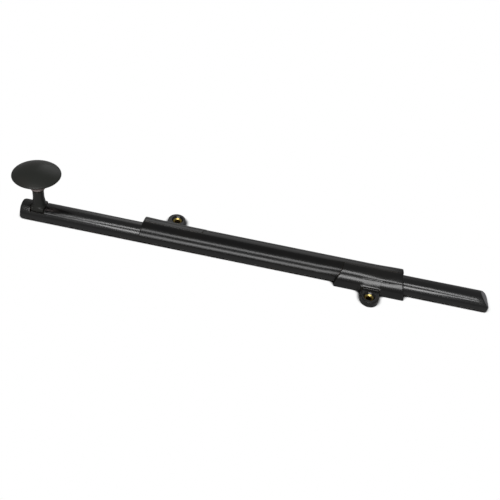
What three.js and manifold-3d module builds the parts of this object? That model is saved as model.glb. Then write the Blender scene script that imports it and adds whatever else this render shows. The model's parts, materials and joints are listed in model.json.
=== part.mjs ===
// A half-round barrel bolt: a D-section bar with a mushroom knob slides in a low arched housing that is
// screwed to a door by two ears, set diagonally. Millimetres. X runs along the bar towards its tip, Z points
// away from the door, and the origin is on the door's surface under the middle of the housing.
import * as THREE from "three";
import { mergeVertices } from "three/addons/utils/BufferGeometryUtils.js";
import Module from "manifold-3d";

const wasm = await Module();
wasm.setup();

// ---- driving dimensions ----
const PLATE_THICKNESS = 0.7;
const BAR_RADIUS = 6.35;
const BAR_FLAT_Z = 1.0;
const BAR_LENGTH = 255.8;
const BAR_REAR_X = -138.1;
const BAR_CLEARANCE = 0.3;
const TIP_BEVEL_LENGTH = 4.9;
const TIP_BEVEL_HEIGHT = 4.9;

const HOUSING_LENGTH = 143.4;
const COVER_RADIUS = 9.0;
const COVER_EDGE_ANGLE = 32; // degrees above the door, at each long edge of the cover
const BRACKET_LENGTH = 35.6;
const BRACKET_RADIUS = 9.15;
const SEAM_GAP = 0.3;

const EAR_RADIUS = 4.8;
const EAR_THICKNESS = 3.7;
const EAR_HOLE_Y = 14.9; // from the bar's centre line
const FRONT_EAR_INSET = 17.5; // from the housing's end to the ear's hole
const REAR_EAR_INSET = 16.3;
const SCREW_HOLE_RADIUS = 1.5;
const COUNTERSINK_RADIUS = 2.9;
const COUNTERSINK_DEPTH = 1.4;

const PLATE_HALF_WIDTH = 4.8;
const LUG_REACH_Y = 9.3; // each of the plate's lugs runs under the root of an ear
const LUG_HALF_WIDTH = 4.2;
const PLATE_SCREW_OFFSET_X = 2.6;
const PLATE_SCREW_Y = 7.9;

const KNOB_X = -128.9;
const KNOB_RADIUS = 12.7;
const KNOB_RIM_Z = 27.1;
const KNOB_TOP_Z = 31.1;
const KNOB_BASE_Z = 18.2;
const POST_TOP_Z = 17.5;
const POST_WAIST_RADIUS = 3.0;
const POST_FOOT_RADIUS = 3.55;
const TENON_HALF_WIDTH = 3.6; // the post's foot is a block that fills the bar's notch
const TENON_HALF_DEPTH = 4.05;
const TENON_TOP_Z = 7.5;
const NOTCH_WIDTH = 7.8;
const NOTCH_FLOOR_Z = 5.0;
const STUD_RADIUS = 1.55;
const STUD_BORE_RADIUS = 1.85;
const STUD_LOW_Z = 11.6;
const STUD_HIGH_Z = 23.2;
const STUD_BORE_TOP_Z = 23.6;
const KNOB_SCREW_HEAD_RADIUS = 2.9;
const KNOB_SCREW_TOP_Z = 11.2;

const TRAVEL_BACK = 44;
const TRAVEL_FORWARD = 38;
const STOP_PIN_X = -66;
const STOP_PIN_RADIUS = 1.3;
const SPRING_START_X = 22.5;
const SPRING_LENGTH = 23.5;
const SPRING_RIVET_X = 25;
const SPRING_WIDTH = 4;
const SPRING_THICKNESS = 0.5;
const SPRING_CREST_Z = 2.35;
const SPRING_GROOVE_TOP_Z = 3.2;
const STOP_SLOT_TOP_Z = 3.6;
const RIVET_RADIUS = 0.95;
const RIVET_HOLE_RADIUS = 1.1;
const PLATE_SCREW_RADIUS = 0.8;
const PLATE_SCREW_HOLE_RADIUS = 0.95;
const PLATE_SCREW_HEAD_RADIUS = 1.55;
const PLATE_SCREW_TOP_Z = 4.0;

// ---- worked-out dimensions ----
const HALF_HOUSING = HOUSING_LENGTH / 2;
const BORE_RADIUS = BAR_RADIUS + BAR_CLEARANCE;
const FRONT_EAR_X = HALF_HOUSING - FRONT_EAR_INSET;
const REAR_EAR_X = HALF_HOUSING - REAR_EAR_INSET;
const BRACKET_START_X = HALF_HOUSING - BRACKET_LENGTH;
const BAR_TIP_X = BAR_REAR_X + BAR_LENGTH;

// ---- finishes ----
const FINISHES = {
  bronze: { color: 0x17181a, roughness: 0.34, metalness: 0.85 },
  knob: { color: 0x1f2321, roughness: 0.55, metalness: 0.6 },
  brass: { color: 0xb58a3a, roughness: 0.35, metalness: 1.0 },
  steel: { color: 0x8a8c8f, roughness: 0.4, metalness: 1.0 },
};

// ---- helpers ----
// A closed three.js geometry as a solid that can be joined and cut.
function solidOf(geometry) {
  const bare = geometry.clone();
  bare.deleteAttribute("normal");
  bare.deleteAttribute("uv");
  const merged = mergeVertices(bare, 1e-4);
  return new wasm.Manifold(
    new wasm.Mesh({
      numProp: 3,
      vertProperties: merged.attributes.position.array,
      triVerts: new Uint32Array(merged.index.array),
    }),
  );
}

// The surface of a solid as a three.js geometry.
function geometryOf(solid) {
  const mesh = solid.getMesh();
  const geometry = new THREE.BufferGeometry();
  geometry.setAttribute("position", new THREE.BufferAttribute(mesh.vertProperties, mesh.numProp));
  geometry.setIndex(new THREE.BufferAttribute(mesh.triVerts, 1));
  geometry.computeVertexNormals();
  return geometry;
}

function box([x0, x1], [y0, y1], [z0, z1]) {
  const geometry = new THREE.BoxGeometry(x1 - x0, y1 - y0, z1 - z0);
  geometry.translate((x0 + x1) / 2, (y0 + y1) / 2, (z0 + z1) / 2);
  return solidOf(geometry);
}

// A profile of [radius, z] points turned about a vertical axis through (x, y).
function turned(points, x = 0, y = 0, segments = 32) {
  const profile = points.map(([radius, z]) => new THREE.Vector2(radius, z));
  const geometry = new THREE.LatheGeometry(profile, segments);
  geometry.rotateX(Math.PI / 2);
  geometry.translate(x, y, 0);
  return solidOf(geometry);
}

function rod(radius, z0, z1, x, y = 0, segments = 24) {
  return turned([[0, z0], [radius, z0], [radius, z1], [0, z1]], x, y, segments);
}

// A shape drawn in the Y-Z plane, extruded along X from x0 to x1.
function extrudedAlongX(shape, x0, x1, curveSegments = 24) {
  const geometry = new THREE.ExtrudeGeometry(shape, { depth: x1 - x0, bevelEnabled: false, curveSegments });
  const yAxis = new THREE.Vector3(0, 1, 0);
  const zAxis = new THREE.Vector3(0, 0, 1);
  const xAxis = new THREE.Vector3(1, 0, 0);
  geometry.applyMatrix4(new THREE.Matrix4().makeBasis(yAxis, zAxis, xAxis));
  geometry.translate(x0, 0, 0);
  return solidOf(geometry);
}

function part(name, solid, finish) {
  const mesh = new THREE.Mesh(geometryOf(solid), new THREE.MeshStandardMaterial(FINISHES[finish]));
  mesh.name = name;
  return mesh;
}

// ---- the sliding bolt ----
function halfRound(radius) {
  const shape = new THREE.Shape();
  shape.moveTo(-radius, BAR_FLAT_Z);
  shape.lineTo(radius, BAR_FLAT_Z);
  shape.absarc(0, BAR_FLAT_Z, radius, 0, Math.PI, false);
  return shape;
}

// The wedge that bevels the tip: it takes most off the crown and leaves the end square near the flat.
function tipBevel() {
  const outline = new THREE.Shape();
  const crownZ = BAR_FLAT_Z + BAR_RADIUS;
  const runPerRise = TIP_BEVEL_LENGTH / TIP_BEVEL_HEIGHT;
  outline.moveTo(BAR_TIP_X - TIP_BEVEL_LENGTH - runPerRise, crownZ + 1);
  outline.lineTo(BAR_TIP_X + runPerRise, crownZ - TIP_BEVEL_HEIGHT - 1);
  outline.lineTo(BAR_TIP_X + runPerRise, crownZ + 1);
  const geometry = new THREE.ExtrudeGeometry(outline, { depth: 20, bevelEnabled: false });
  geometry.rotateX(Math.PI / 2);
  geometry.translate(0, 10, 0);
  return solidOf(geometry);
}

function boltBar() {
  const springEndX = SPRING_START_X + SPRING_LENGTH;
  const endRoom = 1;
  const under = BAR_FLAT_Z - 1;
  const notch = box(
    [KNOB_X - NOTCH_WIDTH / 2, KNOB_X + NOTCH_WIDTH / 2],
    [-BAR_RADIUS - 1, BAR_RADIUS + 1],
    [NOTCH_FLOOR_Z, BAR_FLAT_Z + BAR_RADIUS + 1],
  );
  const springGroove = box(
    [SPRING_START_X - TRAVEL_FORWARD - endRoom, springEndX + TRAVEL_BACK + endRoom],
    [-SPRING_WIDTH / 2 - 0.4, SPRING_WIDTH / 2 + 0.4],
    [under, SPRING_GROOVE_TOP_Z],
  );
  const stopSlot = box(
    [STOP_PIN_X - TRAVEL_FORWARD - STOP_PIN_RADIUS, STOP_PIN_X + TRAVEL_BACK + STOP_PIN_RADIUS],
    [-STOP_PIN_RADIUS - 0.35, STOP_PIN_RADIUS + 0.35],
    [under, STOP_SLOT_TOP_Z],
  );
  const sinkRadius = KNOB_SCREW_HEAD_RADIUS + 0.4;
  const screwHole = turned(
    [
      [0, under],
      [sinkRadius, under],
      [sinkRadius, BAR_FLAT_Z + 0.3],
      [STUD_BORE_RADIUS, BAR_FLAT_Z + 1.9],
      [STUD_BORE_RADIUS, NOTCH_FLOOR_Z + 1],
      [0, NOTCH_FLOOR_Z + 1],
    ],
    KNOB_X,
  );
  return extrudedAlongX(halfRound(BAR_RADIUS), BAR_REAR_X, BAR_TIP_X, 32)
    .subtract(notch)
    .subtract(springGroove)
    .subtract(stopSlot)
    .subtract(screwHole)
    .subtract(tipBevel());
}

// Points of a curve from one [radius, z] to another, bent towards a control point, without its first point.
function bend(start, control, end, steps) {
  const curve = new THREE.QuadraticBezierCurve(
    new THREE.Vector2(...start),
    new THREE.Vector2(...control),
    new THREE.Vector2(...end),
  );
  return curve.getPoints(steps).slice(1).map((p) => [p.x, p.y]);
}

function knob() {
  const neck = [4.0, KNOB_BASE_Z + 0.5];
  const underRim = [KNOB_RADIUS - 0.7, KNOB_RIM_Z - 1.1];
  const rim = [KNOB_RADIUS, KNOB_RIM_Z];
  const overRim = [KNOB_RADIUS - 0.35, KNOB_RIM_Z + 0.6];
  return turned(
    [
      [0, STUD_BORE_TOP_Z],
      [STUD_BORE_RADIUS, STUD_BORE_TOP_Z],
      [STUD_BORE_RADIUS, KNOB_BASE_Z],
      [neck[0] - 0.6, KNOB_BASE_Z],
      neck,
      ...bend(neck, [neck[0] + 1.5, KNOB_RIM_Z - 3.4], underRim, 7),
      ...bend(underRim, [KNOB_RADIUS, KNOB_RIM_Z - 0.7], rim, 2),
      ...bend(rim, [KNOB_RADIUS, KNOB_RIM_Z + 0.4], overRim, 2),
      ...bend(overRim, [KNOB_RADIUS * 0.5, KNOB_TOP_Z], [0, KNOB_TOP_Z], 7),
    ],
    KNOB_X,
    0,
    44,
  );
}

function knobPost() {
  const footZ = NOTCH_FLOOR_Z + 0.2;
  const shoulder = [POST_FOOT_RADIUS, TENON_TOP_Z + 0.2];
  const waist = [POST_WAIST_RADIUS, POST_TOP_Z - 2.2];
  const stem = turned(
    [
      [0, footZ],
      [POST_FOOT_RADIUS, footZ],
      shoulder,
      ...bend(shoulder, [POST_WAIST_RADIUS, shoulder[1] + 2], waist, 5),
      [POST_WAIST_RADIUS + 0.15, POST_TOP_Z],
      [0, POST_TOP_Z],
    ],
    KNOB_X,
  );
  const tenon = box(
    [KNOB_X - TENON_HALF_WIDTH, KNOB_X + TENON_HALF_WIDTH],
    [-TENON_HALF_DEPTH, TENON_HALF_DEPTH],
    [footZ, TENON_TOP_Z],
  );
  return stem.add(tenon).subtract(rod(STUD_BORE_RADIUS, footZ - 1, POST_TOP_Z + 1, KNOB_X, 0, 32));
}

function knobWasher() {
  const low = POST_TOP_Z + 0.15;
  const high = KNOB_BASE_Z - 0.15;
  const outer = POST_WAIST_RADIUS - 0.25;
  return turned(
    [
      [STUD_BORE_RADIUS, low],
      [outer, low],
      [outer, high],
      [STUD_BORE_RADIUS, high],
      [STUD_BORE_RADIUS, low],
    ],
    KNOB_X,
  );
}

function knobStud() {
  return rod(STUD_RADIUS, STUD_LOW_Z, STUD_HIGH_Z, KNOB_X, 0, 20);
}

// A flat-head screw standing on its head, with a slot across the head.
function flatHeadScrew(x, y, headRadius, shankRadius, headZ, headDepth, topZ, slotWidth, segments) {
  const neckZ = headZ + headDepth;
  const body = turned(
    [[0, headZ], [headRadius, headZ], [shankRadius, neckZ], [shankRadius, topZ], [0, topZ]],
    x,
    y,
    segments,
  );
  const slotDepth = headDepth * 0.4;
  const slot = box(
    [x - headRadius - 1, x + headRadius + 1],
    [y - slotWidth / 2, y + slotWidth / 2],
    [headZ - 1, headZ + slotDepth],
  );
  return body.subtract(slot);
}

function knobScrew() {
  const headZ = BAR_FLAT_Z + 0.3;
  const headRadius = KNOB_SCREW_HEAD_RADIUS;
  return flatHeadScrew(KNOB_X, 0, headRadius, STUD_RADIUS, headZ, 1.35, KNOB_SCREW_TOP_Z, 0.9, 24);
}

// ---- the housing ----
// An arched strip, centred on the bar's axis, between two angles in degrees from the +Y side.
function archStrip(innerRadius, outerRadius, fromDegrees, toDegrees) {
  const from = THREE.MathUtils.degToRad(fromDegrees);
  const to = THREE.MathUtils.degToRad(toDegrees);
  const shape = new THREE.Shape();
  shape.absarc(0, BAR_FLAT_Z, outerRadius, from, to, false);
  shape.lineTo(innerRadius * Math.cos(to), BAR_FLAT_Z + innerRadius * Math.sin(to));
  shape.absarc(0, BAR_FLAT_Z, innerRadius, to, from, true);
  shape.closePath();
  return shape;
}

function housingCover() {
  const arch = extrudedAlongX(
    archStrip(BORE_RADIUS, COVER_RADIUS, COVER_EDGE_ANGLE, 180 - COVER_EDGE_ANGLE),
    -HALF_HOUSING,
    HALF_HOUSING,
  );
  // Each bracket is let into one side of the cover, from its long edge up to the crest.
  const recessX = [BRACKET_START_X - SEAM_GAP, HALF_HOUSING + 1];
  const frontRecess = box(recessX, [-20, SEAM_GAP / 2], [0, 20]);
  const rearRecess = box([-recessX[1], -recessX[0]], [-SEAM_GAP / 2, 20], [0, 20]);
  return arch.subtract(frontRecess).subtract(rearRecess);
}

// A quarter arch with a short leg down to the door.
function bracketSection() {
  const seam = Math.PI - Math.acos(SEAM_GAP / 2 / BRACKET_RADIUS);
  const innerSeam = Math.PI - Math.acos(SEAM_GAP / 2 / BORE_RADIUS);
  const shape = new THREE.Shape();
  shape.absarc(0, BAR_FLAT_Z, BRACKET_RADIUS, seam, Math.PI, false);
  shape.lineTo(-BRACKET_RADIUS - 0.2, 0);
  shape.lineTo(-BORE_RADIUS, 0);
  shape.lineTo(-BORE_RADIUS, BAR_FLAT_Z);
  shape.absarc(0, BAR_FLAT_Z, BORE_RADIUS, Math.PI, innerSeam, true);
  shape.closePath();
  return shape;
}

// The swelling between the arch and the ear: a ramp that meets both along smooth curves.
function gussetSection() {
  const shape = new THREE.Shape();
  shape.moveTo(-5.2, 8.2);
  shape.quadraticCurveTo(-8.2, 5.9, -9.4, 4.1);
  shape.quadraticCurveTo(-10.2, EAR_THICKNESS + 0.3, -11.6, EAR_THICKNESS);
  shape.lineTo(-11.6, 0);
  shape.lineTo(-5.2, 0);
  shape.closePath();
  return shape;
}

// A bracket as it sits at the front, on the -Y side, with its ear's hole at earX.
function bracket(earX) {
  const x = earX;
  const y = -EAR_HOLE_Y;
  const high = BAR_FLAT_Z + BRACKET_RADIUS;
  const arch = extrudedAlongX(bracketSection(), BRACKET_START_X, HALF_HOUSING);
  const ear = rod(EAR_RADIUS, 0, EAR_THICKNESS, x, y, 36);
  const neck = box([x - EAR_RADIUS, x + EAR_RADIUS], [y, -8], [0, EAR_THICKNESS]);
  const gusset = extrudedAlongX(gussetSection(), x - EAR_RADIUS, x + EAR_RADIUS, 5);
  const spotFace = rod(EAR_RADIUS - 0.3, EAR_THICKNESS, high, x, y, 36);
  const screwHole = turned(
    [
      [0, -1],
      [SCREW_HOLE_RADIUS, -1],
      [SCREW_HOLE_RADIUS, EAR_THICKNESS - COUNTERSINK_DEPTH],
      [COUNTERSINK_RADIUS, EAR_THICKNESS],
      [COUNTERSINK_RADIUS, EAR_THICKNESS + 1],
      [0, EAR_THICKNESS + 1],
    ],
    x,
    y,
    28,
  );
  const bore = extrudedAlongX(halfRound(BORE_RADIUS), BRACKET_START_X - 1, HALF_HOUSING + 1);
  const lugPocket = box(
    [x - LUG_HALF_WIDTH - SEAM_GAP, x + LUG_HALF_WIDTH + SEAM_GAP],
    [-LUG_REACH_Y - SEAM_GAP, 0],
    [-1, PLATE_THICKNESS + SEAM_GAP],
  );
  const openUnderBar = box([0, HALF_HOUSING + 1], [-BORE_RADIUS, 0], [-1, BAR_FLAT_Z + 0.1]);
  let solid = arch.add(ear).add(neck).add(gusset).subtract(bore).subtract(openUnderBar);
  solid = solid.subtract(spotFace).subtract(screwHole).subtract(lugPocket);
  for (const side of [-1, 1]) {
    const screwX = x + side * PLATE_SCREW_OFFSET_X;
    const pilot = rod(PLATE_SCREW_HOLE_RADIUS, 0, PLATE_SCREW_TOP_Z + 0.3, screwX, -PLATE_SCREW_Y, 20);
    solid = solid.subtract(pilot);
  }
  return solid;
}

function turnedAround(solid) {
  return solid.rotate([0, 0, 180]);
}

// The plate's half at the front: a strip, a pad inside the bracket, and the lug under the ear's root.
function plateHalf(earX) {
  const thick = [0, PLATE_THICKNESS];
  const endX = HALF_HOUSING - 0.5;
  const strip = box([-1, endX], [-PLATE_HALF_WIDTH, PLATE_HALF_WIDTH], thick);
  const pad = box([BRACKET_START_X + 1, endX], [-BORE_RADIUS + 0.35, 0], thick);
  const lug = box([earX - LUG_HALF_WIDTH, earX + LUG_HALF_WIDTH], [-LUG_REACH_Y, 0], thick);
  let solid = strip.add(pad).add(lug);
  const sinkRadius = PLATE_SCREW_HEAD_RADIUS + 0.2;
  const shankRadius = PLATE_SCREW_HOLE_RADIUS;
  for (const side of [-1, 1]) {
    const hole = turned(
      [
        [0, -1],
        [sinkRadius, -1],
        [sinkRadius, 0],
        [shankRadius, PLATE_THICKNESS],
        [shankRadius, 2],
        [0, 2],
      ],
      earX + side * PLATE_SCREW_OFFSET_X,
      -PLATE_SCREW_Y,
      24,
    );
    solid = solid.subtract(hole);
  }
  return solid;
}

function backPlate() {
  const rivetHole = rod(RIVET_HOLE_RADIUS, -1, 2, SPRING_RIVET_X, 0, 24);
  const pinHole = rod(STOP_PIN_RADIUS + 0.15, -1, 2, STOP_PIN_X, 0, 24);
  return plateHalf(FRONT_EAR_X)
    .add(turnedAround(plateHalf(REAR_EAR_X)))
    .subtract(rivetHole)
    .subtract(pinHole);
}

function stopPin() {
  return rod(STOP_PIN_RADIUS, 0.05, 3.2, STOP_PIN_X, 0, 24);
}

// A leaf, flat at its riveted end and bowed up towards the bar beyond it.
function frictionSpring() {
  const restZ = PLATE_THICKNESS + 0.2;
  const flatLength = 5;
  const bowStart = SPRING_START_X + flatLength;
  const bowEnd = SPRING_START_X + SPRING_LENGTH;
  const middle = (bowStart + bowEnd) / 2;
  const controlZ = 2 * SPRING_CREST_Z - restZ;
  const outline = new THREE.Shape();
  outline.moveTo(SPRING_START_X, restZ);
  outline.lineTo(bowStart, restZ);
  outline.quadraticCurveTo(middle, controlZ, bowEnd, restZ);
  outline.lineTo(bowEnd, restZ + SPRING_THICKNESS);
  outline.quadraticCurveTo(middle, controlZ + SPRING_THICKNESS, bowStart, restZ + SPRING_THICKNESS);
  outline.lineTo(SPRING_START_X, restZ + SPRING_THICKNESS);
  outline.closePath();
  const geometry = new THREE.ExtrudeGeometry(outline, {
    depth: SPRING_WIDTH,
    bevelEnabled: false,
    curveSegments: 16,
  });
  geometry.rotateX(Math.PI / 2);
  geometry.translate(0, SPRING_WIDTH / 2, 0);
  return solidOf(geometry).subtract(rod(RIVET_HOLE_RADIUS, 0, 5, SPRING_RIVET_X, 0, 24));
}

function springRivet() {
  const leafTopZ = PLATE_THICKNESS + 0.2 + SPRING_THICKNESS;
  const headZ = leafTopZ + 0.15;
  return turned(
    [
      [0, 0.05],
      [RIVET_RADIUS, 0.05],
      [RIVET_RADIUS, headZ],
      [1.8, headZ],
      [1.3, headZ + 0.65],
      [0, headZ + 0.8],
    ],
    SPRING_RIVET_X,
    0,
    20,
  );
}

function plateScrew(x, y) {
  const headZ = 0.05;
  const headDepth = PLATE_THICKNESS - headZ;
  const topZ = PLATE_SCREW_TOP_Z;
  return flatHeadScrew(x, y, PLATE_SCREW_HEAD_RADIUS, PLATE_SCREW_RADIUS, headZ, headDepth, topZ, 0.45, 20);
}

// ---- the assembly ----
const bolt = new THREE.Group();
bolt.add(
  part("bolt_bar", boltBar(), "bronze"),
  part("knob", knob(), "knob"),
  part("knob_post", knobPost(), "knob"),
  part("knob_washer", knobWasher(), "brass"),
  part("knob_stud", knobStud(), "steel"),
  part("knob_screw", knobScrew(), "steel"),
);

const housing = new THREE.Group();
housing.add(
  part("housing_cover", housingCover(), "bronze"),
  part("front_bracket", bracket(FRONT_EAR_X), "bronze"),
  part("rear_bracket", turnedAround(bracket(REAR_EAR_X)), "bronze"),
  part("back_plate", backPlate(), "brass"),
  part("friction_spring", frictionSpring(), "steel"),
  part("spring_rivet", springRivet(), "brass"),
  part("stop_pin", stopPin(), "brass"),
);

[
  [FRONT_EAR_X - PLATE_SCREW_OFFSET_X, -PLATE_SCREW_Y],
  [FRONT_EAR_X + PLATE_SCREW_OFFSET_X, -PLATE_SCREW_Y],
  [-REAR_EAR_X - PLATE_SCREW_OFFSET_X, PLATE_SCREW_Y],
  [-REAR_EAR_X + PLATE_SCREW_OFFSET_X, PLATE_SCREW_Y],
].forEach(([x, y], i) => housing.add(part(`plate_screw_${i + 1}`, plateScrew(x, y), "steel")));

const barrelBolt = new THREE.Group();
barrelBolt.add(bolt, housing);
export default barrelBolt;
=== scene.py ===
"""The looks of a half-round barrel bolt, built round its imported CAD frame.

Shapes are worked out in millimetres, and MM turns them into metres.
"""

import json
import math

import bmesh
import bpy
import numpy as np
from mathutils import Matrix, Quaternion, Vector


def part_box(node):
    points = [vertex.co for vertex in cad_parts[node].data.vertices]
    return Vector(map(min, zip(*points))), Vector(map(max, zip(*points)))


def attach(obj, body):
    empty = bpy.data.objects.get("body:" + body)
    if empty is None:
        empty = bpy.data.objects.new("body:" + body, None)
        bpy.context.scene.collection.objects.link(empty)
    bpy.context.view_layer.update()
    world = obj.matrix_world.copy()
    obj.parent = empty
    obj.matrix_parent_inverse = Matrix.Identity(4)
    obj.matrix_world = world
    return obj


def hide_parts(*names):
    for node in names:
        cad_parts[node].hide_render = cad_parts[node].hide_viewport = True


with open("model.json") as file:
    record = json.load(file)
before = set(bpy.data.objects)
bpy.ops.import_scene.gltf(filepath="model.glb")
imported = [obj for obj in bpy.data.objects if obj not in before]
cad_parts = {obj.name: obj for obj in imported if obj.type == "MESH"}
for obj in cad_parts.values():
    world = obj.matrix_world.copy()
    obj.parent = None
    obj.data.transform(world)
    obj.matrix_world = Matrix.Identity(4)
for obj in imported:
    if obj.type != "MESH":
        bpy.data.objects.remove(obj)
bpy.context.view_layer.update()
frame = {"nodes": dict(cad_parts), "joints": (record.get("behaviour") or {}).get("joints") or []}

# ---- sizes read from the frame, in millimetres ----
MM = 0.001


def box_mm(node):
    low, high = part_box(node)
    return low / MM, high / MM


BAR_LOW, BAR_HIGH = box_mm("bolt_bar")
KNOB_LOW, KNOB_HIGH = box_mm("knob")
COVER_HIGH = box_mm("housing_cover")[1]

BAR_RADIUS = BAR_HIGH.y
BAR_FLAT = BAR_LOW.z
BAR_CROWN = BAR_FLAT + BAR_RADIUS
HALF_HOUSING = COVER_HIGH.x
COVER_RADIUS = COVER_HIGH.z - BAR_FLAT
CROWN = BAR_FLAT + COVER_RADIUS
BRACKET_START = box_mm("front_bracket")[0].x
KNOB_X = (KNOB_LOW.x + KNOB_HIGH.x) / 2
KNOB_RADIUS = (KNOB_HIGH.x - KNOB_LOW.x) / 2
KNOB_BASE = KNOB_LOW.z
KNOB_TOP = KNOB_HIGH.z
POST_TOP = box_mm("knob_post")[1].z

# ---- the bar's details, in millimetres, with angles in radians round its axis, up from its flat ----
TIP_BEVEL_LENGTH = 4.9
TIP_BEVEL_HEIGHT = 4.9
TIP_SKEW = 0.1
TIP_CORNER_LENGTH = 1.5
TIP_CORNER_WIDTH = 2.7
REAR_ROUND = 1.0
FRONT_ROUND = 0.5
LONG_EDGE_ROUND = 0.12
FULLNESS = 0.13
FULLNESS_ANGLE = math.radians(32)
FULLNESS_SPREAD = math.radians(36)
RIDGE_ANGLE = math.radians(48)
RIDGE_SPREAD = 0.14
RIDGE_HEIGHT = 0.11
RIDGE_START = 78
RIDGE_FULL = 108
NOTCH_WIDTH = 7.8
NOTCH_FLOOR = 5.0
GROOVE_TOP = 3.2
GROOVE_PLAY = 0.4
SLOT_TOP = 3.6
SLOT_PLAY = 0.35
SCREW_HEAD_RADIUS = 3.3
SCREW_HEAD_HEIGHT = 1.9
SCREW_HOLE_RADIUS = 1.85
ASIDE = 12  # how far to each side the cutters reach

# ---- the knob's and the post's details, in millimetres ----
KNOB_RIM_Z = 27.1
KNOB_FOOT_RADIUS = 3.2
KNOB_NECK_RADIUS = 4.0
STUD_BORE = 1.85
STUD_DEPTH = 7.5
TENON_TOP = 7.5
TENON_HALF_WIDTH = 3.6
TENON_HALF_DEPTH = 4.05
STEM_RADIUS = 3.72
WAIST_RADIUS = 3.0
POST_LIP = 0.22

# ---- the cover's details, in millimetres ----
BORE_RADIUS = BAR_RADIUS + 0.3
COVER_EDGE_ANGLE = math.radians(32)
COVER_LIP = 0.5
COVER_INNER_LIP = 0.25
END_FLARE = 0.4
FLARE_LENGTH = 20
FRONT_SETBACK = 1.3
REAR_SETBACK = 0.7
SEAM = 0.06

# ---- the brackets' details, in millimetres ----
TOE = 1.2
CAST_RADIUS = COVER_RADIUS + 0.1
FOOT_SWELL = 0.1
FOOT_SPREAD = 0.65
BACK_RIDGE_HEIGHT = 0.16
BACK_RIDGE_ANGLE = 0.36
BACK_RIDGE_SPREAD = 0.24
NOSE_RIDGE_HEIGHT = 0.07
NOSE_RIDGE_ANGLE = 0.86
NOSE_RIDGE_SPREAD = 0.13
FRONT_EAR_X = HALF_HOUSING - 17.5
REAR_EAR_X = HALF_HOUSING - 16.3
EAR_RADIUS = 4.75
EAR_SHIFT = 0.35
EAR_THICKNESS = 3.7
EAR_HOLE_Y = 14.9
EAR_ROOT_Y = 5
EAR_WIDENING = 0.35
RAMP_LEAN = math.radians(40)
RAMP_REACH = COVER_RADIUS + 0.2
STEP_Y = -9.6
SEAT_Z = EAR_THICKNESS - 0.35
HOLE_RADIUS = 1.5
BORE_TOP_Z = 1.9
BRASS_RADIUS = 2.4
BRASS_TOP_Z = 2.5
MOUTH_RADIUS = 3.15


# ---- materials ----
class Nodes:
    """A small helper to lay out one material's node tree."""

    def __init__(self, name):
        self.material = bpy.data.materials.new(name)
        self.material.use_nodes = True
        self.tree = self.material.node_tree
        self.shader = self.tree.nodes["Principled BSDF"]

    def join(self, value, socket):
        """Links the socket to another node's output, or sets it to a plain value."""
        if isinstance(value, bpy.types.NodeSocket):
            self.tree.links.new(value, socket)
        else:
            socket.default_value = value

    def add(self, kind, settings=None, **inputs):
        """A new node, with an underscore for each space in its inputs' names."""
        node = self.tree.nodes.new(kind)
        for key, value in (settings or {}).items():
            setattr(node, key, value)
        for key, value in inputs.items():
            self.join(value, node.inputs[key.replace("_", " ")])
        return node

    def set(self, name, value):
        self.join(value, self.shader.inputs[name])

    def noise(self, scale, detail=3.0, roughness=0.5, stretch=None):
        vector = self.add("ShaderNodeTexCoord").outputs["Object"]
        if stretch:
            vector = self.add("ShaderNodeMapping", Vector=vector, Scale=stretch).outputs["Vector"]
        sizes = {"Scale": scale, "Detail": detail, "Roughness": roughness}
        return self.add("ShaderNodeTexNoise", Vector=vector, **sizes).outputs["Fac"]

    def spread(self, value, low, high, to_low, to_high):
        """A value from low..high moved to to_low..to_high, and clamped there."""
        ends = {"From_Min": low, "From_Max": high, "To_Min": to_low, "To_Max": to_high}
        return self.add("ShaderNodeMapRange", Value=value, **ends).outputs["Result"]

    def mix(self, factor, first, second):
        """A blend of two colours, through the node's factor and colour sockets."""
        node = self.add("ShaderNodeMix", {"data_type": "RGBA"})
        for number, value in ((0, factor), (6, first), (7, second)):
            self.join(value, node.inputs[number])
        return node.outputs[2]

    def maths(self, operation, first, second):
        node = self.add("ShaderNodeMath", {"operation": operation, "use_clamp": True})
        self.join(first, node.inputs[0])
        self.join(second, node.inputs[1])
        return node.outputs[0]

    def edges(self, radius, low, high):
        """Near 1 on sharp edges and 0 elsewhere: how far the rounded normal leans from the true one."""
        rounded = self.add("ShaderNodeBevel", {"samples": 4}, Radius=radius).outputs["Normal"]
        true = self.add("ShaderNodeNewGeometry").outputs["Normal"]
        dot = self.add("ShaderNodeVectorMath", {"operation": "DOT_PRODUCT"})
        self.join(rounded, dot.inputs[0])
        self.join(true, dot.inputs[1])
        return self.spread(dot.outputs["Value"], high, low, 0.0, 1.0)

    def bump(self, height, strength, distance):
        node = self.add("ShaderNodeBump", Height=height, Strength=strength, Distance=distance)
        return node.outputs["Normal"]


RUBBED_BRONZE = (0.075, 0.048, 0.026, 1)
LONG = (0.03, 1, 1)
UPRIGHT = (1, 1, 0.1)
EVEN = (1, 1, 1)


def black_bronze(name, dark, warm, roughness, gloss, grain, grain_height, drawn):
    """Oil-rubbed black finish: near black, a little brown where it is thin, and rubbed at the edges."""
    n = Nodes(name)
    patches = n.spread(n.noise(55, 4), 0.42, 0.68, 0.0, 1.0)
    colour = n.mix(patches, dark, warm)
    wear = n.spread(n.noise(420, 4), 0.40, 0.70, 0.0, 0.75)
    rub = n.maths("MULTIPLY", n.edges(0.0005, 0.90, 0.995), wear)
    n.set("Base Color", n.mix(rub, colour, RUBBED_BRONZE))
    n.set("Metallic", n.spread(rub, 0.0, 1.0, 0.0, 0.9))
    n.set("Specular IOR Level", gloss)
    streaks = n.spread(n.noise(900, 3, stretch=drawn), 0.3, 0.7, 0.0, 0.03)
    smudges = n.spread(n.noise(90, 3), 0.3, 0.7, 0.0, 0.05)
    n.set("Roughness", n.maths("ADD", n.maths("ADD", streaks, smudges), roughness - 0.04))
    n.set("Normal", n.bump(n.noise(grain, 4, 0.6, stretch=drawn), 0.5, grain_height))
    return n.material


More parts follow.
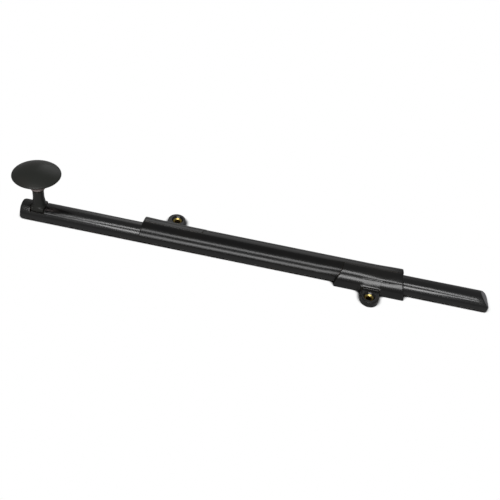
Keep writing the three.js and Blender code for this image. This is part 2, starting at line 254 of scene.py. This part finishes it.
def bare_metal(name, colour, tarnish, roughness, drawn=EVEN):
    """Bright metal with tarnish spots and fine lines along its drawn direction."""
    n = Nodes(name)
    spots = n.spread(n.noise(260, 5), 0.45, 0.72, 0.0, 0.8)
    n.set("Base Color", n.mix(spots, colour, tarnish))
    n.set("Metallic", 1.0)
    lines = n.noise(1500, 3, stretch=drawn)
    n.set("Roughness", n.spread(lines, 0.3, 0.7, roughness - 0.07, roughness + 0.1))
    n.set("Normal", n.bump(lines, 0.2, 0.00002))
    return n.material


def make_materials():
    fine, finer = 0.00003, 0.00002
    black = {"dark": (0.0045, 0.0045, 0.0048, 1), "warm": (0.0075, 0.0068, 0.006, 1), "roughness": 0.20}
    knob = {"dark": (0.029, 0.031, 0.027, 1), "warm": (0.037, 0.036, 0.031, 1), "roughness": 0.34}
    post = {"dark": (0.027, 0.0285, 0.0255, 1), "warm": (0.034, 0.031, 0.028, 1), "roughness": 0.34}
    return {
        "bar": black_bronze("bar_finish", **black, gloss=1.0, grain=6500, grain_height=fine, drawn=LONG),
        "cover": black_bronze("cover_finish", **black, gloss=0.5, grain=4200, grain_height=finer, drawn=LONG),
        "cast": black_bronze("cast_finish", **black, gloss=0.75, grain=2600, grain_height=fine, drawn=EVEN),
        "knob": black_bronze("knob_finish", **knob, gloss=0.4, grain=3200, grain_height=fine, drawn=EVEN),
        "post": black_bronze("post_finish", **post, gloss=0.5, grain=4000, grain_height=fine, drawn=UPRIGHT),
        # lighter bare metal for the tip's bevel: wear where the bolt strikes, and a painted highlight that
        # lightens the bevel as a reflection would
        "rubbed": bare_metal("rubbed_and_highlit_tip", (0.36, 0.36, 0.38, 1), (0.20, 0.19, 0.19, 1), 0.36),
        # painted highlight: a pale metal that makes the knob's neck a light band, as if lit from the floor
        # below
        "neck_highlight": bare_metal("painted_neck_highlight", (0.82, 0.70, 0.68, 1), (0.45, 0.35, 0.32, 1), 0.34),
        "brass": bare_metal("bare_brass", (0.62, 0.49, 0.15, 1), (0.34, 0.26, 0.08, 1), 0.27),
        # darker brass for the narrow bore: painted shade inside the screw hole
        "bore": bare_metal("shaded_bore_brass", (0.30, 0.17, 0.05, 1), (0.12, 0.07, 0.03, 1), 0.42),
        "washer": bare_metal("washer_copper", (0.15, 0.05, 0.045, 1), (0.07, 0.03, 0.03, 1), 0.4),
        "plate": bare_metal("plate_brass", (0.50, 0.37, 0.15, 1), (0.22, 0.15, 0.07, 1), 0.38, LONG),
        "steel": bare_metal("screw_steel", (0.42, 0.42, 0.43, 1), (0.24, 0.23, 0.22, 1), 0.34),
    }


# ---- camera, light and floor ----
AIM_MM = Vector((-11.9, 0.0, 5.1))
AZIMUTH = math.radians(3.19)
ELEVATION = math.radians(41.65)
ROLL = math.radians(9.37)
DISTANCE_MM = 380.9
LENS = 51.0
SKYLIGHT = 0.17
WHITE = (1, 1, 1, 1)
BLACK = (0, 0, 0, 1)
FLOOR_IN_METAL = 0.27
DEEP_SHADE = 0.03


def make_camera():
    data = bpy.data.cameras.new("camera")
    data.lens = LENS
    data.sensor_width = 36
    data.clip_start = 0.01
    camera = bpy.data.objects.new("camera", data)
    flat = math.cos(ELEVATION)
    forward = Vector((-math.sin(AZIMUTH) * flat, math.cos(AZIMUTH) * flat, -math.sin(ELEVATION)))
    camera.location = (AIM_MM - forward * DISTANCE_MM) * MM
    camera.rotation_mode = "QUATERNION"
    camera.rotation_quaternion = forward.to_track_quat("-Z", "Y") @ Quaternion((0, 0, 1), ROLL)
    bpy.context.collection.objects.link(camera)
    bpy.context.scene.camera = camera


def area_light(name, elevation, distance, length, width, power, azimuth=0.0):
    """A panel of light aimed at the bolt, in degrees and metres. At azimuth 0 it is on the -Y side."""
    data = bpy.data.lights.new(name, "AREA")
    data.shape = "RECTANGLE"
    data.size = length
    data.size_y = width
    data.energy = power
    light = bpy.data.objects.new(name, data)
    tilt = math.radians(elevation)
    turn = math.radians(azimuth)
    out = Vector((math.sin(turn) * math.cos(tilt), -math.cos(turn) * math.cos(tilt), math.sin(tilt)))
    light.location = out * distance
    light.rotation_mode = "QUATERNION"
    light.rotation_quaternion = (-out).to_track_quat("-Z", "Y")
    bpy.context.collection.objects.link(light)


def make_lights():
    area_light("low_strip", elevation=38, distance=1.1, length=0.9, width=0.24, power=3.6)
    area_light("high_strip", elevation=69.5, distance=1.1, length=0.9, width=0.20, power=2.7)
    area_light("back_panel", elevation=28, distance=1.6, length=0.85, width=1.0, power=1.4, azimuth=185)
    world = bpy.data.worlds.new("studio")
    world.use_nodes = True
    world.node_tree.nodes["Background"].inputs["Color"].default_value = WHITE
    world.node_tree.nodes["Background"].inputs["Strength"].default_value = SKYLIGHT
    bpy.context.scene.world = world
    bpy.context.scene.view_settings.view_transform = "Standard"


def make_floor():
    """A floor that gives off its own light, with painted shade where the bolt hems it in, and is dim in
    reflections.
    """
    bpy.ops.mesh.primitive_grid_add(x_subdivisions=8, y_subdivisions=8, size=8)
    floor = bpy.context.object
    floor.name = "floor"
    floor.visible_diffuse = False
    n = Nodes("floor_paper")
    n.set("Base Color", BLACK)
    n.set("Roughness", 1)
    n.set("Specular IOR Level", 0)
    n.set("Emission Color", WHITE)
    # painted shade: the floor's light is dimmed where the bolt hems it in, under the bar and in the screw
    # holes
    towards_key = n.add("ShaderNodeCombineXYZ", X=0.0, Y=-0.7, Z=0.7).outputs["Vector"]
    sky = n.add("ShaderNodeAmbientOcclusion", {"samples": 16}, Distance=0.0035, Normal=towards_key)
    well = n.add("ShaderNodeAmbientOcclusion", {"samples": 8}, Distance=0.003)
    open_sky = n.spread(sky.outputs["AO"], 0.66, 0.88, DEEP_SHADE, 1.0)
    open_well = n.spread(well.outputs["AO"], 0.38, 0.48, DEEP_SHADE, 1.0)
    shade = n.maths("MULTIPLY", open_sky, open_well)
    seen = n.add("ShaderNodeLightPath").outputs["Is Camera Ray"]
    n.set("Emission Strength", n.maths("MULTIPLY", shade, n.spread(seen, 0.0, 1.0, FLOOR_IN_METAL, 1.0)))
    floor.data.materials.append(n.material)


# ---- mesh tools ----
SHARP_ANGLE = math.radians(38)


def object_from(name, points, faces):
    """A smooth-shaded object from points in millimetres and faces as lists of point numbers."""
    mesh = bpy.data.meshes.new(name)
    mesh.from_pydata([(Vector(p) * MM)[:] for p in points], [], faces)
    mesh.validate()
    for polygon in mesh.polygons:
        polygon.use_smooth = True
    made = bpy.data.objects.new(name, mesh)
    bpy.context.collection.objects.link(made)
    return made


def outward(piece, merge=False):
    """Turns the piece's faces outward. With merge, points that coincide are joined first."""
    data = bmesh.new()
    data.from_mesh(piece.data)
    if merge:
        bmesh.ops.remove_doubles(data, verts=data.verts, dist=1e-7)
        bmesh.ops.dissolve_degenerate(data, edges=data.edges, dist=1e-8)
    bmesh.ops.recalc_face_normals(data, faces=data.faces)
    data.to_mesh(piece.data)
    data.free()


def loft(name, rings):
    """A closed solid through rings of points, each ring given in the same order, with flat end caps."""
    count = len(rings[0])
    points = [p for ring in rings for p in ring]
    faces = []
    for i in range(len(rings) - 1):
        for j in range(count):
            k = (j + 1) % count
            faces.append((i * count + j, i * count + k, (i + 1) * count + k, (i + 1) * count + j))
    faces.append(tuple(reversed(range(count))))
    faces.append(tuple(range((len(rings) - 1) * count, len(rings) * count)))
    made = object_from(name, points, faces)
    outward(made)
    return made


def turned(name, profile, x, steps):
    """A profile of (radius, z) points from axis to axis, turned about the upright line at x."""
    turns = [2 * math.pi * step / steps for step in range(steps)]
    points = [(x + r * math.cos(turn), r * math.sin(turn), z) for turn in turns for r, z in profile]
    count = len(profile)
    faces = []
    for i in range(steps):
        here, after = i * count, (i + 1) % steps * count
        for j in range(count - 1):
            faces.append((here + j, after + j, after + j + 1, here + j + 1))
    made = object_from(name, points, faces)
    outward(made, merge=True)
    return made


def slab(name, low, high):
    """A box used as a cutter, in millimetres."""
    (x0, y0, z0), (x1, y1, z1) = low, high
    return loft(name, [[(x, y0, z0), (x, y1, z0), (x, y1, z1), (x, y0, z1)] for x in (x0, x1)])


def bake_modifiers(piece):
    """Replaces the piece's mesh with the one its modifiers make."""
    bpy.context.view_layer.update()
    graph = bpy.context.evaluated_depsgraph_get()
    mesh = bpy.data.meshes.new_from_object(piece.evaluated_get(graph))
    piece.modifiers.clear()
    piece.data = mesh


def cut(piece, cutters):
    for cutter in cutters:
        step = piece.modifiers.new("cut", "BOOLEAN")
        step.operation = "DIFFERENCE"
        step.solver = "EXACT"
        step.object = cutter
        bake_modifiers(piece)
        bpy.data.objects.remove(cutter)


def soften(piece, width):
    """Rounds the sharp edges, and shades the rest smooth."""
    step = piece.modifiers.new("round_edges", "BEVEL")
    step.width = width * MM
    step.segments = 3
    step.limit_method = "ANGLE"
    step.angle_limit = SHARP_ANGLE
    step.use_clamp_overlap = True
    bake_modifiers(piece)
    piece.data.shade_smooth()
    piece.data.set_sharp_from_angle(angle=SHARP_ANGLE)


def dress(piece, body, nodes, slot, *materials):
    for material in materials:
        piece.data.materials.append(material)
    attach(piece, body)
    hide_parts(*nodes)


def paint(piece, number, chosen):
    """Gives the faces that chosen(face) picks the piece's material with that number."""
    for polygon in piece.data.polygons:
        if chosen(polygon):
            polygon.material_index = number


def curve_points(start, control, end, steps):
    """Points along a bend from start to end that leans towards control, without its first point."""
    found = []
    for i in range(1, steps + 1):
        t = i / steps
        shares = ((1 - t) ** 2, 2 * t * (1 - t), t * t)
        found.append(tuple(np.dot(shares, values) for values in zip(start, control, end)))
    return found


# ---- smooth solids from distance fields, for the post and the cast brackets ----
def smooth_min(a, b, blend):
    h = np.clip(0.5 + 0.5 * (b - a) / blend, 0, 1)
    return b * (1 - h) + a * h - blend * h * (1 - h)


def smooth_max(a, b, blend):
    return -smooth_min(-a, -b, blend)


def smooth_step(value):
    t = np.clip(value, 0, 1)
    return t * t * (3 - 2 * t)


def ridge(angle, centre, spread):
    """A soft ridge, 1 high, that runs along the bar at an angle round its axis."""
    return np.exp(-(((angle - centre) / spread) ** 2))


def cell_points(value, low, step):
    """A point in each grid cell that the zero surface crosses, and the grid of those points' numbers."""
    corners = [(i, j, k) for i in (0, 1) for j in (0, 1) for k in (0, 1)]
    nx, ny, nz = value.shape

    def corner(offset):
        i, j, k = offset
        return value[i : nx - 1 + i, j : ny - 1 + j, k : nz - 1 + k]

    count_inside = sum((corner(c) < 0).astype(int) for c in corners)
    mixed = (count_inside > 0) & (count_inside < 8)
    total = np.zeros((*mixed.shape, 3))
    crossings = np.zeros(mixed.shape)
    for axis in range(3):
        for start in [c for c in corners if c[axis] == 0]:
            end = tuple(1 if a == axis else v for a, v in enumerate(start))
            first, last = corner(start), corner(end)
            crossing = (first < 0) != (last < 0)
            place = np.stack([np.full(mixed.shape, float(v)) for v in start], axis=-1)
            place[..., axis] = np.where(crossing, first / np.where(crossing, first - last, 1), 0)
            total += np.where(crossing[..., None], place, 0)
            crossings += crossing
    cells = np.argwhere(mixed)
    number = np.full(mixed.shape, -1)
    number[mixed] = np.arange(len(cells))
    offsets = total[mixed] / crossings[mixed][:, None]
    return np.array(low) + (cells + offsets) * step, number


def cell_quads(inside, number):
    """Quads that join the points of the four cells round each grid edge that the surface crosses."""
    quads = []
    for axis in range(3):
        u, v = (axis + 1) % 3, (axis + 2) % 3
        spots = np.argwhere(np.diff(inside, axis=axis))
        spots = spots[(spots[:, u] > 0) & (spots[:, v] > 0)]
        spots = spots[(spots[:, u] < inside.shape[u] - 1) & (spots[:, v] < inside.shape[v] - 1)]
        going_out = inside[tuple(spots.T)]
        ring = []
        for du, dv in ((-1, -1), (0, -1), (0, 0), (-1, 0)):
            cell = spots.copy()
            cell[:, u] += du
            cell[:, v] += dv
            ring.append(number[tuple(cell.T)])
        ring = np.stack(ring, axis=1)
        quads.append(np.where(going_out[:, None], ring, ring[:, ::-1]))
    return np.concatenate(quads)


def onto_surface(field, points, step):
    """The points moved along the field's slope, three times over, onto its zero surface."""
    small = step * 0.05
    for _ in range(3):
        here = field(*points.T)
        rises = [field(*(points + d).T) - field(*(points - d).T) for d in np.eye(3) * small]
        slope = np.stack([rise / (2 * small) for rise in rises], axis=1)
        size = np.maximum((slope**2).sum(1), 0.05)
        move = slope * (here / size)[:, None]
        points = points - np.clip(move, -step / 2, step / 2)
    return points


def surface_nets(field, low, high, step):
    """Points and quads of the zero surface of field(x, y, z) in a box."""
    axes = [np.arange(a, b + step, step) for a, b in zip(low, high)]
    value = field(*np.meshgrid(*axes, indexing="ij"))
    points, number = cell_points(value, low, step)
    return onto_surface(field, points, step), cell_quads(value < 0, number)


# ---- the bolt ----
def swell(x, angle):
    """How far the bar stands out from a true half circle: a full crown, and a soft ridge near its ends."""
    full = FULLNESS * (float(smooth_step((angle - FULLNESS_ANGLE) / FULLNESS_SPREAD)) - 0.5)
    height = RIDGE_HEIGHT * float(smooth_step((abs(x) - RIDGE_START) / (RIDGE_FULL - RIDGE_START)))
    return full + height * float(ridge(angle, RIDGE_ANGLE, RIDGE_SPREAD))


def bar_section(x, inset):
    """The bar's D section at x, drawn in by inset, with its two long edges rounded."""
    radius = BAR_RADIUS - inset
    flat = BAR_FLAT + inset
    corner = LONG_EDGE_ROUND
    corner_y = math.sqrt((radius - corner) ** 2 - corner**2)
    lift = math.asin(corner / (radius - corner))
    ring = []
    arc_steps = 96
    for i in range(arc_steps + 1):
        angle = lift + (math.pi - 2 * lift) * i / arc_steps
        out = radius + swell(x, min(angle, math.pi - angle))
        ring.append((x, out * math.cos(angle), flat + out * math.sin(angle)))
    near_corner = np.linspace(math.pi - lift, 1.5 * math.pi, 6)[1:]
    far_corner = np.linspace(1.5 * math.pi, 2 * math.pi + lift, 6)[:-1]
    for side, turns in ((-1, near_corner), (1, far_corner)):
        for turn in turns:
            y = side * corner_y + corner * math.cos(turn)
            ring.append((x, y, flat + corner + corner * math.sin(turn)))
    return ring


def bar_rings():
    """Sections along the bar, drawn in over both ends so that their edges are round."""
    turns = np.linspace(0, math.pi / 2, 7)
    insets = [(1 - math.sin(turn), 1 - math.cos(turn)) for turn in turns]
    rear = [bar_section(BAR_LOW.x + REAR_ROUND * a, REAR_ROUND * b) for a, b in reversed(insets)]
    front = [bar_section(BAR_HIGH.x - FRONT_ROUND * a, FRONT_ROUND * b) for a, b in insets]
    beside_notch = [KNOB_X + side * (NOTCH_WIDTH / 2 + 0.6) for side in (-1, 1)]
    stations = [*beside_notch, *np.linspace(KNOB_X + 12, BAR_HIGH.x - TIP_BEVEL_LENGTH - 3, 40)]
    return rear + [bar_section(x, 0) for x in stations] + front


def tip_wedge():
    """What the bevel takes off the tip: it starts at the crown, and is cut a little askew."""
    run = TIP_BEVEL_LENGTH / TIP_BEVEL_HEIGHT
    past = 1.5
    outline = [
        (BAR_HIGH.x - TIP_BEVEL_LENGTH - past * run, BAR_CROWN + past),
        (BAR_HIGH.x + past, BAR_CROWN - TIP_BEVEL_HEIGHT - past / run),
        (BAR_HIGH.x + past, BAR_CROWN + past),
    ]
    return loft("tip_wedge", [[(x - TIP_SKEW * y, y, z) for x, z in outline] for y in (-ASIDE, ASIDE)])


def tip_corner(side):
    """What the round corner takes off one side of the tip, seen from above."""
    inner = BAR_RADIUS - TIP_CORNER_WIDTH
    bend = []
    for turn in np.linspace(0, math.pi / 2, 10):
        x = BAR_HIGH.x - TIP_CORNER_LENGTH * (1 - math.cos(turn))
        bend.append((x, inner + TIP_CORNER_WIDTH * math.sin(turn)))
    outline = [(BAR_HIGH.x + 1, inner), *bend, (BAR_HIGH.x - TIP_CORNER_LENGTH, 8), (BAR_HIGH.x + 1, 8)]
    return loft("tip_corner", [[(x, side * y, z) for x, y in outline] for z in (-1, 9)])


def bar_recesses():
    """Cutters for the post's notch, the spring's groove, the stop pin's slot and the knob screw's hole."""
    spring_low, spring_high = box_mm("friction_spring")
    pin_low, pin_high = box_mm("stop_pin")
    back, forward = [end / MM for end in frame["joints"][0]["range_m"]]
    under = BAR_FLAT - 1
    notch_low = (KNOB_X - NOTCH_WIDTH / 2, -ASIDE, NOTCH_FLOOR)
    notch_high = (KNOB_X + NOTCH_WIDTH / 2, ASIDE, BAR_CROWN + 2)
    groove_low = (spring_low.x - forward - 1, spring_low.y - GROOVE_PLAY, under)
    groove_high = (spring_high.x - back + 1, spring_high.y + GROOVE_PLAY, GROOVE_TOP)
    slot_low = (pin_low.x - forward, pin_low.y - SLOT_PLAY, under)
    slot_high = (pin_high.x - back, pin_high.y + SLOT_PLAY, SLOT_TOP)
    screw_hole = [
        (0, under),
        (SCREW_HEAD_RADIUS, under),
        (SCREW_HEAD_RADIUS, BAR_FLAT + 0.3),
        (SCREW_HOLE_RADIUS, BAR_FLAT + SCREW_HEAD_HEIGHT),
        (SCREW_HOLE_RADIUS, 8),
        (0, 8),
    ]
    return [
        slab("notch", notch_low, notch_high),
        slab("groove", groove_low, groove_high),
        slab("slot", slot_low, slot_high),
        turned("recess", screw_hole, KNOB_X, steps=48),
    ]


def on_bevel(face):
    """Whether a face lies on the tip's bevel, and not on the roundings beside it."""
    near_tip = face.center.x / MM > BAR_HIGH.x - TIP_BEVEL_LENGTH - 1
    return near_tip and 0.68 < face.normal.x < 0.73 and face.normal.z > 0.68


def make_bar(materials):
    bar = loft("bar", bar_rings())
    cut(bar, [*bar_recesses(), tip_corner(-1), tip_corner(1), tip_wedge()])
    soften(bar, 0.22)
    dress(bar, "bolt", ["bolt_bar"], "bronze", materials["bar"], materials["rubbed"])
    # the bevel's lighter metal is partly wear and partly a painted highlight
    paint(bar, 1, on_bevel)


def on_neck(face):
    """Whether a face lies on the knob's neck, which gets a pale metal as a painted highlight."""
    middle = face.center / MM
    reach = math.hypot(middle.x - KNOB_X, middle.y)
    return 3.5 < reach < 7.5 and KNOB_BASE < middle.z < KNOB_BASE + 4.5


def make_knob(materials):
    foot = (KNOB_FOOT_RADIUS, KNOB_BASE)
    neck = (KNOB_NECK_RADIUS, KNOB_BASE + 0.5)
    under_rim = (KNOB_RADIUS - 1.3, KNOB_RIM_Z - 0.9)
    rim = (KNOB_RADIUS, KNOB_RIM_Z)
    over_rim = (KNOB_RADIUS - 0.35, KNOB_RIM_Z + 0.6)
    profile = [
        (0, KNOB_TOP - STUD_DEPTH),
        (STUD_BORE, KNOB_TOP - STUD_DEPTH),
        (STUD_BORE, KNOB_BASE),
        foot,
        *curve_points(foot, (3.6, KNOB_BASE), neck, 5),
        *curve_points(neck, (KNOB_NECK_RADIUS + 1.5, KNOB_RIM_Z - 3.4), under_rim, 26),
        *curve_points(under_rim, (KNOB_RADIUS - 0.1, KNOB_RIM_Z - 0.35), rim, 7),
        *curve_points(rim, (KNOB_RADIUS, KNOB_RIM_Z + 0.4), over_rim, 7),
        *curve_points(over_rim, (KNOB_RADIUS * 0.5, KNOB_TOP), (0, KNOB_TOP), 28),
    ]
    head = turned("knob_head", profile, KNOB_X, steps=144)
    head.data.set_sharp_from_angle(angle=math.radians(40))
    dress(head, "bolt", ["knob"], "knob_bronze", materials["knob"], materials["neck_highlight"])
    # the neck's pale metal is a painted highlight
    paint(head, 1, on_neck)


def post_field(x, y, z):
    """Signed distance, roughly, to the post: a block in the bar's notch, and a stem that waists above it."""
    radius = np.hypot(x - KNOB_X, y)
    climb = smooth_step((z - TENON_TOP + 0.6) / 6.2)
    lip = smooth_step((z - POST_TOP + 1.0) / 0.8)
    stem_radius = STEM_RADIUS + (WAIST_RADIUS - STEM_RADIUS) * climb + POST_LIP * lip
    stem = smooth_max(radius - stem_radius, z - POST_TOP, blend=0.3)
    stem = np.maximum(stem, NOTCH_FLOOR + 0.05 - z)
    block_x = np.abs(x - KNOB_X) - TENON_HALF_WIDTH
    block = smooth_max(block_x, np.abs(y) - TENON_HALF_DEPTH, blend=0.9)
    block = smooth_max(block, z - TENON_TOP, blend=0.9)
    block = smooth_max(block, NOTCH_FLOOR + 0.05 - z, blend=0.2)
    solid = smooth_min(stem, block, blend=0.9)
    return smooth_max(solid, STUD_BORE - radius, blend=0.2)


def make_post(materials):
    reach = TENON_HALF_DEPTH + 0.8
    low = (KNOB_X - reach, -reach, NOTCH_FLOOR - 0.5)
    high = (KNOB_X + reach, reach, POST_TOP + 0.5)
    points, quads = surface_nets(post_field, low, high, 0.16)
    post = object_from("post", points, quads.tolist())
    dress(post, "bolt", ["knob_post"], "knob_bronze", materials["post"])


# ---- the cover ----
def end_flare(x):
    """How far the housing's outer surface swells near its ends."""
    return END_FLARE * smooth_step((np.abs(x) - (HALF_HOUSING - FLARE_LENGTH)) / FLARE_LENGTH) ** 1.3


def cover_edge(outer, angle, side):
    """(radius, angle) points round one long edge of the cover, from its outside in to its bore.

    side is 1 for the edge past the arch's end, and -1 for the edge before its start.
    """
    lip = COVER_LIP
    ring = []
    for i in range(1, 6):
        turn = math.pi / 2 * i / 6
        ring.append((outer - lip * (1 - math.cos(turn)), angle + side * lip * math.sin(turn) / outer))
    ring.append((BORE_RADIUS + COVER_INNER_LIP, angle + side * lip / outer))
    ring.append((BORE_RADIUS, angle + side * (lip - COVER_INNER_LIP) / outer))
    return ring


def cover_section(x):
    """The cover's arched section at x, which leans back towards its crown at both ends of the housing."""
    outer = COVER_RADIUS + float(end_flare(x))
    start, end = COVER_EDGE_ANGLE, math.pi - COVER_EDGE_ANGLE
    arc_steps = 80
    shares = [i / arc_steps for i in range(arc_steps + 1)]
    ring = [(outer, start + (end - start) * share) for share in shares]
    ring += cover_edge(outer, end, 1)
    ring += [(BORE_RADIUS, end - (end - start) * share) for share in shares]
    ring += reversed(cover_edge(outer, start, -1))
    near_end = float(smooth_step((abs(x) - HALF_HOUSING + FLARE_LENGTH) / FLARE_LENGTH))
    setback = FRONT_SETBACK if x > 0 else REAR_SETBACK
    found = []
    for radius, angle in ring:
        z = BAR_FLAT + radius * math.sin(angle)
        lean = setback * near_end * float(smooth_step((z - 3) / (CROWN - 3)))
        found.append((x - math.copysign(lean, x), radius * math.cos(angle), z))
    return found


def make_cover(materials):
    near_end = HALF_HOUSING - FLARE_LENGTH
    ends = list(np.linspace(near_end, HALF_HOUSING, 21))
    stations = [-x for x in reversed(ends)] + list(np.linspace(-near_end, near_end, 9))[1:-1] + ends
    cover = loft("cover", [cover_section(x) for x in stations])
    past_end, past_crown = HALF_HOUSING + 4, CROWN + 1.5
    edge = [(float(bracket_back(z)) - SEAM * 2, z) for z in np.linspace(-1, past_crown, 16)]
    outline = edge + [(past_end, past_crown), (past_end, -1)]
    front = loft("front_recess", [[(x, y, z) for x, z in outline] for y in (-20, SEAM)])
    rear = loft("rear_recess", [[(-x, y, z) for x, z in outline] for y in (-SEAM, 20)])
    cut(cover, [front, rear])
    soften(cover, 0.2)
    dress(cover, "housing", ["housing_cover"], "bronze", materials["cover"])


# ---- the brackets, each worked out with its ear on the -Y side ----
def bracket_back(z):
    """Where the bracket's back edge lies at a height: it leans forward as it rises."""
    return BRACKET_START - 0.8 + 0.033 * z * z


def bracket_front(z, setback):
    """Where the bracket's front end lies at a height: its toe sticks out, and its crown is set back."""
    return HALF_HOUSING + TOE - (TOE + setback) * z / CROWN


def arch_field(x, y, z, reach, setback):
    """The arch, with a foot that widens forward and a soft ridge near its back end and near its nose."""
    side = np.clip(-y / np.maximum(reach, 0.1), 0, 1)
    angle = np.arccos(side)
    spread = smooth_step((x - BRACKET_START - 6) / 20)
    nose = smooth_step((x - HALF_HOUSING + 22) / 12) + 1.2 * smooth_step((x - HALF_HOUSING + 8) / 8)
    outer = CAST_RADIUS + end_flare(x) * (1 - side**2) + (FOOT_SWELL + FOOT_SPREAD * spread) * side**3
    outer = outer + BACK_RIDGE_HEIGHT * (1 - spread) * ridge(angle, BACK_RIDGE_ANGLE, BACK_RIDGE_SPREAD)
    outer = outer + NOSE_RIDGE_HEIGHT * nose * ridge(angle, NOSE_RIDGE_ANGLE, NOSE_RIDGE_SPREAD)
    arch = smooth_max(reach - outer, bracket_back(z) - x, blend=0.45)
    return smooth_max(arch, x - bracket_front(z, setback), blend=0.7)


def ear_field(from_ear, y, z):
    """The flat ear, round at its end and a little wider towards the arch. from_ear is measured along X."""
    along = y - np.clip(y, -EAR_HOLE_Y, -EAR_ROOT_Y)
    tongue = np.hypot(from_ear, along) - EAR_RADIUS - EAR_WIDENING * smooth_step((y + 12.5) / 3)
    return smooth_max(tongue, z - EAR_THICKNESS, blend=0.4)


def ramp_field(from_ear, y, z):
    """The slope that touches the arch and comes down to the ear."""
    touch_y = -RAMP_REACH * math.cos(RAMP_LEAN)
    touch_z = BAR_FLAT + RAMP_REACH * math.sin(RAMP_LEAN)
    ramp = -(y - touch_y) * math.cos(RAMP_LEAN) + (z - touch_z) * math.sin(RAMP_LEAN)
    ramp = smooth_max(ramp, np.abs(from_ear) - EAR_RADIUS - 0.1, blend=1.4)
    ramp = np.maximum(ramp, y - touch_y + 0.2)
    return np.maximum(ramp, -y - EAR_HOLE_Y)


def step_field(from_ear, y, z):
    """What is cut from the ramp's foot to leave a flat seat round the hole."""
    step = smooth_max(y - STEP_Y, SEAT_Z - z, blend=0.3)
    return smooth_max(step, np.abs(from_ear) - EAR_RADIUS + 0.1, blend=0.5)


def hole_field(from_hole, z):
    """The screw hole: a narrow bore, a brass countersink above it, and a wider mouth."""
    heights = (BORE_TOP_Z, BRASS_TOP_Z, SEAT_Z)
    radius = np.interp(z, heights, (HOLE_RADIUS, BRASS_RADIUS, MOUTH_RADIUS))
    return (radius - from_hole) * 0.75


def bracket_field(x, y, z, ear_x, setback):
    """Signed distance, roughly, to the bracket with its hole at ear_x."""
    reach = np.hypot(y, np.maximum(z - BAR_FLAT, 0))
    from_ear = x - ear_x - EAR_SHIFT
    solid = smooth_min(arch_field(x, y, z, reach, setback), ramp_field(from_ear, y, z), blend=0.9)
    solid = smooth_min(solid, ear_field(from_ear, y, z), blend=1.2)
    solid = smooth_max(solid, -step_field(from_ear, y, z), blend=0.3)
    solid = smooth_max(solid, hole_field(np.hypot(x - ear_x, y + EAR_HOLE_Y), z), blend=0.12)
    solid = smooth_max(solid, BORE_RADIUS - reach, blend=0.3)
    solid = smooth_max(solid, -z, blend=0.15)
    return smooth_max(solid, y + SEAM, blend=0.12)


def make_bracket(name, node, ear_x, setback, turned_round, materials):
    """A cast bracket with brass in its hole, and darker brass in its bore as painted shade. Turned round, its
    ear is on the +Y side near the rear end.
    """
    low = (BRACKET_START - 1.5, -EAR_HOLE_Y - EAR_RADIUS - 0.7, -0.5)
    high = (HALF_HOUSING + TOE + 0.7, 0.5, CROWN + END_FLARE + 1)
    step = 0.2
    points, quads = surface_nets(lambda x, y, z: bracket_field(x, y, z, ear_x, setback), low, high, step)
    from_hole = np.hypot(*(points[:, :2] - np.array([ear_x, -EAR_HOLE_Y])).T)
    in_hole = (from_hole < BRASS_RADIUS) & (points[:, 2] > 0.05)
    in_shaded_bore = in_hole & (from_hole < HOLE_RADIUS + 0.15)
    if turned_round:
        points = points * (-1, -1, 1)
    piece = object_from(name, points, quads.tolist())
    dress(piece, "housing", [node], "bronze", materials["cast"], materials["brass"], materials["bore"])
    paint(piece, 1, lambda face: all(in_hole[v] for v in face.vertices))
    # the bore's darker brass is painted shade
    paint(piece, 2, lambda face: all(in_shaded_bore[v] for v in face.vertices))


# ---- the whole ----
def keep_cad(material, *nodes):
    """CAD nodes that stay as they are, with a finished material."""
    for node in nodes:
        piece = frame["nodes"][node]
        piece.data.materials.clear()
        piece.data.materials.append(material)


def main():
    make_camera()
    make_lights()
    make_floor()
    materials = make_materials()
    make_bar(materials)
    make_knob(materials)
    make_post(materials)
    make_cover(materials)
    make_bracket("front_cast_bracket", "front_bracket", FRONT_EAR_X, FRONT_SETBACK, False, materials)
    make_bracket("rear_cast_bracket", "rear_bracket", REAR_EAR_X, REAR_SETBACK, True, materials)
    keep_cad(materials["plate"], "back_plate")
    keep_cad(materials["washer"], "knob_washer")
    keep_cad(materials["brass"], "spring_rivet", "stop_pin")
    keep_cad(materials["steel"], "knob_stud", "knob_screw", "friction_spring")
    keep_cad(materials["steel"], *[f"plate_screw_{i}" for i in range(1, 5)])


main()
